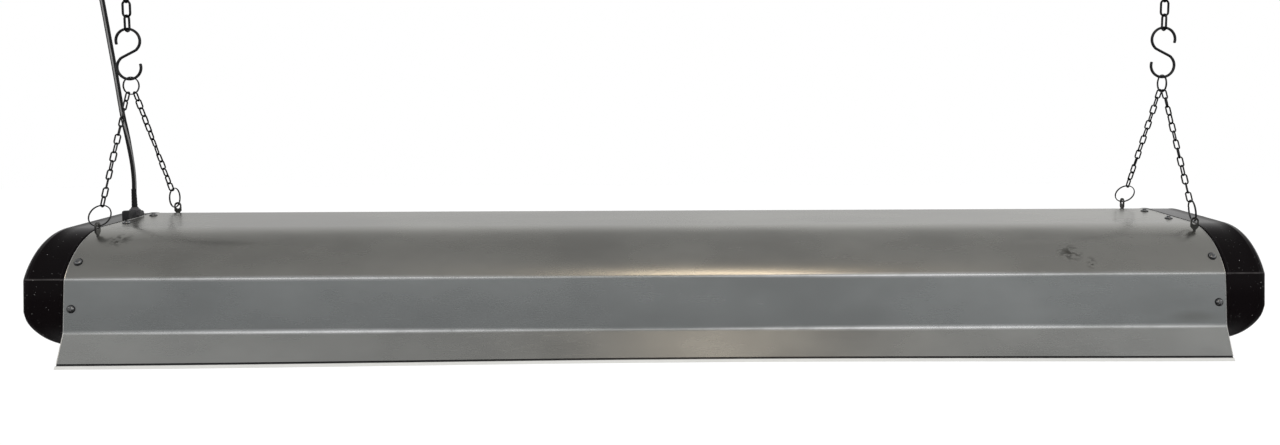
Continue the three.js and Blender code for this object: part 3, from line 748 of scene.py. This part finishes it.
# x of the chain, x of the ring below the S-hook, the ring's yaw, and the way the hook opens
HANGERS = {"left": (-583.8, -582.4, math.radians(68), 1),
           "right": (580.3, 580.3, math.radians(90), -1)}
LEG = dict(length=11.3, width=5.1, wire=1.3, count=13)
UP = dict(length=17.7, width=8.7, wire=1.9, count=8, pitch=16.1)
LINK_POINTS, WIRE_SIDES = 24, 8
LINK_FULLNESS = 1.3  # drawn wire against the CAD's
LEG_SPREAD = 28  # degrees round the upper ring to each leg
LEG_JITTER, UP_JITTER = 0.45, 0.12  # radians that a link's turn may vary
# A split ring: the points in its two turns, the angle where they start, and, against the
# wire, how far each turn lies to its side and the two sizes of its section
RING_POINTS, RING_START, RING_LIFT, RING_SECTION = 80, 0.7, 0.22, (0.88, 0.95)
S_TOP, S_BOTTOM, S_RADIUS = 214.7, 158.8, 13.2


def link(centre, along, across, size, jitter=0.0):
    """One welded oval link in metres; across is the direction of its width."""
    across = (across - along * across.dot(along)).normalized()
    if jitter:
        across = (Matrix.Rotation(jitter, 3, along) @ across).normalized()
    half, radius = (size["length"] - size["width"]) / 2, size["width"] / 2
    path = []
    for i in range(LINK_POINTS):
        a = 2 * math.pi * (i + 0.5) / LINK_POINTS
        lift = half if math.sin(a) > 0 else -half
        offset = across * (radius * math.cos(a)) + along * (radius * math.sin(a) + lift)
        path.append(centre + offset * 0.001)
    wire = circle(LINK_FULLNESS * size["wire"] / 2000, WIRE_SIDES)
    return sweep(path, wire, closed=True, up=across.cross(along))


def split_ring(centre, along, across, radius, wire):
    """Two turns of flattened wire side by side."""
    across = (across - along * across.dot(along)).normalized()
    out = across.cross(along)
    path = []
    for i in range(RING_POINTS + 1):
        a = 4 * math.pi * i / RING_POINTS + RING_START
        lift = wire * RING_LIFT * math.tanh((i - RING_POINTS / 2) / 5)
        offset = across * (radius * math.cos(a)) + along * (radius * math.sin(a)) + out * lift
        path.append(centre + offset * 0.001)
    section = [(a * RING_SECTION[0] * wire / 2000, b * RING_SECTION[1] * wire / 2000)
               for a, b in circle(1.0, WIRE_SIDES)]
    return sweep(path, section, up=out, round_ends=0.0003)


def leg_line(name):
    """Where a leg's chain starts and ends, and which way its first and last links may turn."""
    x, y, yaw = CLIPS[name]
    _, ring_x, ring_yaw, _ = HANGERS[name.split("_")[0]]
    u = Vector((math.cos(ring_yaw), math.sin(ring_yaw), 0))
    a = math.copysign(math.radians(LEG_SPREAD), y)
    eye = Vector((x, y, EYE_Z))
    top = (Vector((ring_x, 0, UPPER_RING_Z - UPPER_RING * math.cos(a)))
           + u * (UPPER_RING * math.sin(a)))
    tangent = u * math.cos(a) + Vector((0, 0, math.sin(a)))
    return eye, top, tangent, Vector((math.cos(math.radians(yaw)), math.sin(math.radians(yaw)), 0))


def make_leg(name):
    eye, top, tangent, across = leg_line(name)
    along = (top - eye).normalized()
    body = name.split("_")[0] + "_hanger"
    centre = eye + along * LOWER_RING
    make(f"split_ring_{name}", [split_ring(P(*centre), along, across, LOWER_RING, LOWER_WIRE)],
         ["ring"], body, [f"lower_ring_{name}"], 60)
    low = 2 * LOWER_RING + LEG["length"] / 2 - (LEG["wire"] + LOWER_WIRE) / 2 - 0.1
    high = (top - eye).length - (LEG["length"] / 2 - (LEG["wire"] + UPPER_WIRE) / 2 - 0.1)
    pitch = (high - low) / (LEG["count"] - 1)
    first, last = across.cross(along).normalized(), tangent.cross(along).normalized()
    angle = math.atan2(along.dot(first.cross(last)), first.dot(last))
    extra = (angle - math.pi * round(angle / math.pi)) / (LEG["count"] - 1)
    parts = []
    for i in range(LEG["count"]):
        turn = Matrix.Rotation(i * (math.pi / 2 + extra), 3, along)
        inner = 0 < i < LEG["count"] - 1
        jitter = random.uniform(-LEG_JITTER, LEG_JITTER) if inner else 0
        parts.append(link(P(*(eye + along * (low + i * pitch))), along, turn @ first, LEG, jitter))
    make(f"links_leg_{name}", parts, ["chain"], body, [f"chain_leg_{name}"], 60)


def loop_point(degrees, centre):
    a = math.radians(degrees)
    return S_RADIUS * math.cos(a), centre + S_RADIUS * math.sin(a)


def make_hanger(end):
    x, ring_x, yaw, faces = HANGERS[end]
    body = f"{end}_hanger"
    across = Vector((math.cos(yaw), math.sin(yaw), 0))
    ring = split_ring(P(ring_x, 0, UPPER_RING_Z), Z_AXIS, across, UPPER_RING, UPPER_WIRE)
    make(f"split_ring_{end}_upper", [ring], ["ring"], body, [f"upper_ring_{end}"], 60)

    mid = (S_TOP + S_BOTTOM) / 2
    centre = S_TOP - S_RADIUS - mid
    points = [loop_point(a, centre) for a in range(195, -56, -10)]
    points += [loop_point(a, -centre) for a in range(125, 376, 10)]
    path = spline([P(x + faces * a, 0, b + mid) for a, b in points], 0.0016)
    make(f"hook_wire_{end}", [sweep(path, circle(0.0015, 12), up=Y_AXIS, round_ends=0.0009)],
         ["hook"], body, [f"s_hook_{end}"], 60)

    last = S_TOP + UP["length"] / 2 - (UP["wire"] + 3) / 2 - 0.3
    links = []
    for i in range(UP["count"]):
        jitter = random.uniform(-UP_JITTER, UP_JITTER) if 0 < i < UP["count"] - 1 else 0
        links.append(link(P(x, 0, last + UP["pitch"] * i), Z_AXIS, Vector((i % 2, 1 - i % 2, 0)),
                          UP, jitter))
    make(f"links_upper_{end}", links, ["chain"], body, [f"upper_chain_{end}"], 60)

    top = last + UP["pitch"] * (UP["count"] - 1) + UP["length"] - UP["wire"] - 0.3
    make(f"links_top_{end}", [link(P(x, 0, top), Z_AXIS, Y_AXIS, UP)], ["chain"],
         "top_links", [f"top_link_{end}"], 60)
    make_ceiling_hook(end, x)


def make_ceiling_hook(end, x):
    stem = [P(x, 0, DROP - 2), P(x, 0, DROP - 12), P(x, 0, DROP - 20), P(x + 3.5, 0, DROP - 27)]
    for a in range(35, -216, -25):
        t = math.radians(a)
        stem.append(P(x + 9.5 * math.cos(t), 0, DROP - 36.5 + 9.5 * math.sin(t)))
    bar = sweep(spline(stem, 0.0014), circle(0.002, 12), up=Y_AXIS, round_ends=0.001)
    flange = turned([(0.01, 0), (14.6, 0), (15, -0.5), (14.9, -1.5), (12.4, -3.3), (8, -4.0),
                     (4.6, -4.2), (3.2, -6.0), (0.01, -6.2)], P(x, 0, DROP), Z_AXIS, 36)
    make(f"ceiling_fitting_{end}", [bar, flange], ["white"], "ceiling", [f"ceiling_hook_{end}"],
         45)


def arc_points(radius, height, angles):
    return [(radius * math.cos(a), height + radius * math.sin(a)) for a in angles]


def make_clip(name):
    """A bevelled sheet tab with an eye, on a stem through the hood."""
    x, y, yaw = CLIPS[name]
    curve = bpy.data.curves.new("tab", "CURVE")
    curve.dimensions, curve.fill_mode = "2D", "BOTH"
    curve.extrude, curve.bevel_depth, curve.bevel_resolution = 0.0007, 0.0003, 2
    crown = arc_points(CLIP_HALF, 6, [math.pi * i / 14 for i in range(15)])
    outline = [(-1.0, -3.6), (1.0, -3.6), (CLIP_HALF, -0.4)] + crown + [(-CLIP_HALF, -0.4)]
    eye = arc_points(CLIP_EYE, CLIP_EYE_Z, [2 * math.pi * i / 22 for i in range(22)])
    for points in (outline, eye):
        line = curve.splines.new("POLY")
        line.points.add(len(points) - 1)
        for point, (a, b) in zip(line.points, points):
            point.co = (a * 0.001, b * 0.001, 0, 1)
        line.use_cyclic_u = True
    spare = bpy.data.objects.new("tab", curve)
    bpy.context.collection.objects.link(spare)
    flat = evaluated_mesh(spare)
    bpy.data.objects.remove(spare)
    turn = (Matrix.Rotation(math.radians(yaw), 3, "Z") @ Matrix.Rotation(math.pi / 2, 3, "Z")
            @ Matrix.Rotation(math.pi / 2, 3, "X"))
    at = P(x, y, 0)
    tab = ([at + turn @ v.co for v in flat.vertices],
           [tuple(p.vertices) for p in flat.polygons], 0)
    stem = turned([(0.01, -13.6), (3.2, -13.4), (3.2, -11.8), (1.4, -11.6), (1.4, -3), (0.01, -2)],
                  at, Z_AXIS, 16)
    make(f"hanging_tab_{name}", [tab, stem], ["clip"], "fixture", [f"clip_{name}"],
         40)


# -------- cord, gland, plug
# The radius and the shift along Y of each turn of the coil
COIL_TURNS = [(33.8, 5.4), (33.8, 0), (33.8, -5.4), (28.3, -5.4), (28.3, 0), (28.3, 5.4)]
TURN_POINTS, LAST_TURN_SHORT = 30, 8  # points in a turn, and how many the last lacks
CORD_SIDES, CORD_GROOVES = 20, (4, 5, 14, 15)  # the faces round the cord in its grooves
CORD_TWIST = 1.45  # radians between the gland and the hanger
PLUG = (COIL[0] - 26, COIL[1] + 18.5, COIL[2] + 20)


def eased(share):
    """0 to 1 with no kink at either end."""
    share = min(1.0, max(0.0, share))
    return share * share * (3 - 2 * share)


def cord_path():
    gx, gy, top = GLAND
    cx, cy, cz = COIL
    rise = [(gx, gy, top), (gx, gy, 24), (-597, 22.4, 40), (-598.4, 23.2, 60), (-602.7, 24.4, 88),
            (-608.7, 25.6, 120), (-613.8, 26, 160), (-619, 25.8, 200), (-622.4, 25.2, 228),
            (-625.2, 24.2, 252), (-627.6, 22.6, 272), (cx - 33.6, cy + 5.4, cz - 14)]
    points = [P(*point) for point in rise]
    for k in range(len(COIL_TURNS) * TURN_POINTS - LAST_TURN_SHORT):
        turn, part = divmod(k, TURN_POINTS)
        radius, shift = COIL_TURNS[turn]
        part /= TURN_POINTS
        if turn + 1 < len(COIL_TURNS):
            ease = eased((part - 0.70) / 0.22)
            radius += (COIL_TURNS[turn + 1][0] - radius) * ease
            shift += (COIL_TURNS[turn + 1][1] - shift) * ease
        a = math.pi - 2 * math.pi * part
        points.append(P(cx + radius * math.cos(a), cy + shift, cz + radius * math.sin(a)))
    points += [P(cx - 13, cy + 8.4, cz - 23.8), P(cx - 21, cy + 12.6, cz - 17.5),
               P(cx - 25, cy + 16.4, cz - 9), P(cx - 26, cy + 18.5, cz + 1)]
    return spline(points, 0.0045)


def make_relief():
    """The ribbed, tapered boot where the cord leaves the gland."""
    gx, gy, top = GLAND
    rings = []
    for i in range(25):
        t = i / 24
        rib = 0.12 if i % 4 in (1, 2) and 0 < i < 22 else 0.0
        a, b = 2.95 - 0.55 * t - rib, 3.6 - 0.6 * t - rib
        rings.append([P(gx + a * math.cos(k), gy + b * math.sin(k), top - 0.5 + 21.5 * t)
                      for k in (2 * math.pi * j / 20 for j in range(20))])
    return make("strain_relief", [loft(rings, ends=True)], ["cord"], "fixture", (),
                50)


def make_cord():
    """A flat twin cord with a groove on each side, painted paler grey in its grooves as a painted
    highlight down the middle of each flat face.
    """
    path = cord_path()
    half_w, half_t = CORD_WIDTH / 2000, CORD_THICK / 2000
    section = []
    for i in range(CORD_SIDES):
        a = 2 * math.pi * i / CORD_SIDES
        groove = 1 - 0.24 * math.exp(-(math.cos(a) / 0.26) ** 2)
        section.append((half_w * math.cos(a), half_t * math.sin(a) * groove))
    twist = [CORD_TWIST - CORD_TWIST * eased((point.z - P(0, 0, 60).z) / 0.07) for point in path]
    cord = make("flat_cord", [sweep(path, section, up=Y_AXIS, twist=twist)], ["cord", "seam"],
                None, (), 50)
    # Painted highlight: the faces in the grooves get the paler grey.
    for face in cord.data.polygons[:CORD_SIDES * (len(path) - 1)]:
        face.material_index = 1 if face.index % CORD_SIDES in CORD_GROOVES else 0
    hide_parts("power_cord", "cord_coil")
    boot = make_relief()
    plug = make_plug()
    ties = [make_tie("cord_tie_top", 78), make_tie("cord_tie_side", 152)]
    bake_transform(cord)


def make_gland():
    """A bar along the seam, lower at its rear end, with a ribbed round clamp on it."""
    gx, gy, top = GLAND
    side = rounded([(3, -0.8), (3, 9.4), (5.4, 9.9), (20, 8.2), (31, 6.6), (34, 5.4), (34, -0.8)],
                   [0, 1.4, 1.0, 1.0, 1.0, 1.2, 0], 3)
    middle = Vector((18.5, 3.5))
    rings = []
    for x, shrink in ((-601.6, 0.7), (-601.2, 0.25), (-600.6, 0), (-594.4, 0), (-593.8, 0.25),
                      (-593.4, 0.7)):
        rings.append([P(x, a - math.copysign(shrink, a - middle.x),
                        b - (shrink if b > middle.y else 0)) for a, b in side])
    ribs = [(0.01, 2.6)]
    for i in range(4):
        base = 3.0 + 1.3 * i
        ribs += [(6.3, base), (6.3, base + 0.8), (5.8, base + 1.0)]
    ribs += [(6.0, 8.2), (5.4, 9.0), (4.4, 9.8), (3.8, 10.8), (3.5, top), (2.9, top),
             (0.01, top - 0.2)]
    clamp = turned(ribs, P(gx, gy, 0), Z_AXIS, 30, 1)
    neck = turned([(0.01, -9), (3.8, -8.8), (3.8, 3), (0.01, 3)], P(gx, gy, 0), Z_AXIS, 16)
    make("cord_clamp", [loft(rings, ends=True), clamp, neck], ["plastic", "clamp"], "fixture",
         ["cord_gland"], 35)


def make_tie(name, degrees):
    """A band of hook-and-loop tape round the bundle at one place."""
    a = math.radians(degrees)
    out = Vector((math.cos(a), 0, math.sin(a)))
    middle = P(*COIL) + out * 0.030
    loop = []
    for i in range(28):
        t = 2 * math.pi * i / 28
        c, s = math.cos(t), math.sin(t)
        size = 0.0093 / max(abs(c), abs(s), (abs(c) + abs(s)) * 0.78)
        loop.append(middle + out * (c * size * 0.80) + Y_AXIS * (s * size))
    band = [(-0.0004, -0.0045), (0.0004, -0.0045), (0.0004, 0.0045), (-0.0004, 0.0045)]
    return make(name, [sweep(loop, band, closed=True, up=out.cross(Y_AXIS))], ["plastic"],
                "left_hanger", (), 40)


def make_plug():
    x, y, z = PLUG
    rings = []
    for height, a, b in ((-19, 3.6, 3.6), (-17.4, 6, 5.4), (-14, 8.4, 6.6), (-8, 10.6, 8.0),
                         (0, 11.2, 8.8), (10, 11.4, 9.0), (15.5, 11.2, 8.8), (17, 10.2, 7.9)):
        ring = []
        for i in range(28):
            t = 2 * math.pi * i / 28
            c, s = math.cos(t), math.sin(t)
            ring.append(P(x + a * math.copysign(abs(c) ** 0.6, c),
                          y + b * math.copysign(abs(s) ** 0.6, s), z + height))
        rings.append(ring)
    blades = [blade(x + dx, y - 2.4, z) for dx in (-6.3, 6.3)]
    pin = turned([(2.3, 16), (2.3, 32), (1.6, 34.5), (0.4, 35)], P(x, y + 4.0, z), Z_AXIS, 14, 1)
    return make("moulded_plug", [loft(rings, ends=True), *blades, pin], ["plastic", "brass"],
                "left_hanger", ["plug"], 40)


def blade(x, y, z):
    corners = ((-0.75, -3.0), (0.75, -3.0), (0.75, 3.0), (-0.75, 3.0))
    rings = [[P(x + a * k, y + b * k, z + h) for a, b in corners]
             for h, k in ((16, 1), (31.5, 1), (33, 0.6))]
    return loft(rings, ends=True, number=1)


# -------- what is under the hood
TUBE_RADIUS, SINK_INNER, SINK_END, BOARD_END = 13.0, 11.8, 583, 581
CHIP_COUNT, CHIP_FIRST, CHIP_PITCH, CHIP_HALF = 96, -570, 12, 1.5
PIN_SPREAD = 6.35


def round_line(radius, start, end, steps):
    """Points round the tube's middle; the angles are in degrees."""
    angles = [math.radians(start + (end - start) * i / steps) for i in range(steps + 1)]
    return [(radius * math.cos(a), radius * math.sin(a)) for a in angles]


def half_channel(start, end, radius, wall, steps=20):
    outer = round_line(radius, start, end, steps)
    k = (radius - wall) / radius
    return outer + [(a * k, b * k) for a, b in reversed(outer)]


def make_tube(side, sy):
    body = f"tube_{side}"
    y = sy * TUBE_Y

    def run(points, x0, x1, number=0):
        rings = [[P(x, y + a, TUBE_Z + b) for a, b in points] for x in (x0, x1)]
        return loft(rings, ends=True, number=number)

    fins = []
    for i in range(61):
        a = math.radians(2 + 176 * i / 60)
        r = TUBE_RADIUS - (0.35 if i % 4 in (1, 2) else 0.0)
        fins.append((r * math.cos(a), r * math.sin(a)))
    fins += reversed(round_line(SINK_INNER, 2, 178, 20))
    make(f"ribbed_sink_{side}", [run(fins, -SINK_END, SINK_END)], ["alu"], body,
         [f"{body}_heat_sink"], 30)
    cover = run(half_channel(182, 358, TUBE_RADIUS, 1.2), -SINK_END, SINK_END)
    make(f"frosted_cover_{side}", [cover], ["diffuser"], body, [f"{body}_diffuser"],
         40)
    board = run([(-10.2, -0.8), (10.2, -0.8), (10.2, 0.8), (-10.2, 0.8)], -BOARD_END, BOARD_END)
    chips = []
    for i in range(CHIP_COUNT):
        x = CHIP_FIRST + CHIP_PITCH * i
        chips.append(run([(-CHIP_HALF, -1.5), (CHIP_HALF, -1.5), (CHIP_HALF, -0.8),
                          (-CHIP_HALF, -0.8)], x - CHIP_HALF, x + CHIP_HALF, 1))
    make(f"led_strip_{side}", [board, *chips], ["board", "phosphor"], body, [f"{body}_led_board"],
         40)
    for end, sx in ENDS:
        profile = [(0.01, 583.3), (12.8, 583.3), (13, 583.7), (13, 598.6), (12.4, 599.5),
                   (0.01, 599.5)]
        axis = Vector((sx, 0, 0))
        cap = turned(profile, P(0, y, TUBE_Z), axis, 32)
        pins = [turned([(0.01, 599), (1.17, 599), (1.17, 606), (0.7, 606.7), (0.01, 606.7)],
                       P(0, y, TUBE_Z + dz), axis, 12, 1) for dz in (-PIN_SPREAD, PIN_SPREAD)]
        make(f"tube_cap_{side}_{end}", [cap, *pins], ["alu", "brass"], body, [f"{body}_end_{end}"],
             40)


def dress(node, mat, width):
    """Keeps a CAD node, rounds its edges and gives it a finish."""
    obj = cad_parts[node]
    obj.data.materials.clear()
    obj.data.materials.append(MAT[mat])
    bevel = obj.modifiers.new("edges", "BEVEL")
    bevel.width, bevel.segments, bevel.limit_method = width, 2, "ANGLE"
    bevel.angle_limit = math.radians(40)


def make_floor():
    mesh = bpy.data.meshes.new("floor")
    mesh.from_pydata([(-FLOOR_HALF, -FLOOR_HALF, FLOOR_Z), (FLOOR_HALF, -FLOOR_HALF, FLOOR_Z),
                      (FLOOR_HALF, FLOOR_HALF, FLOOR_Z), (-FLOOR_HALF, FLOOR_HALF, FLOOR_Z)],
                     [], [(0, 1, 2, 3)])
    floor = bpy.data.objects.new("floor", mesh)
    pale, _ = principled("floor_pale", (0.93, 0.93, 0.93), 0.9, Emission_Strength=0.12)
    mesh.materials.append(pale)
    floor.visible_glossy = False
    bpy.context.collection.objects.link(floor)


# -------- the scene
make_camera()
make_world()
bpy.context.scene.view_settings.view_transform = "Standard"
make_floor()
area_light("key", Vector((-0.6, -1.8, 1.6)), P(0, 0, -40), (2.4, 1.2), 8)
area_light("lamp", Vector((0.17, -1.5, 0.92)), P(60, -100, -60), (0.5, 0.24), 1.9,
           (1.0, 0.82, 0.60), True)

make_hood()
for where, way in ENDS:
    make_cap(where, way)
make_screws()
for clip in CLIPS:
    make_clip(clip)
    make_leg(clip)
for hanger in HANGERS:
    make_hanger(hanger)
make_cord()
make_gland()
for tube, direction in SIDES:
    make_tube(tube, direction)
dress("wireway_cover", "white", 0.0004)
dress("led_driver", "driver", 0.0008)
for which in ("left", "right"):
    dress(f"holder_plate_{which}", "white", 0.0003)
    for row in ("front", "rear"):
        dress(f"lampholder_{which}_{row}", "holder", 0.0008)
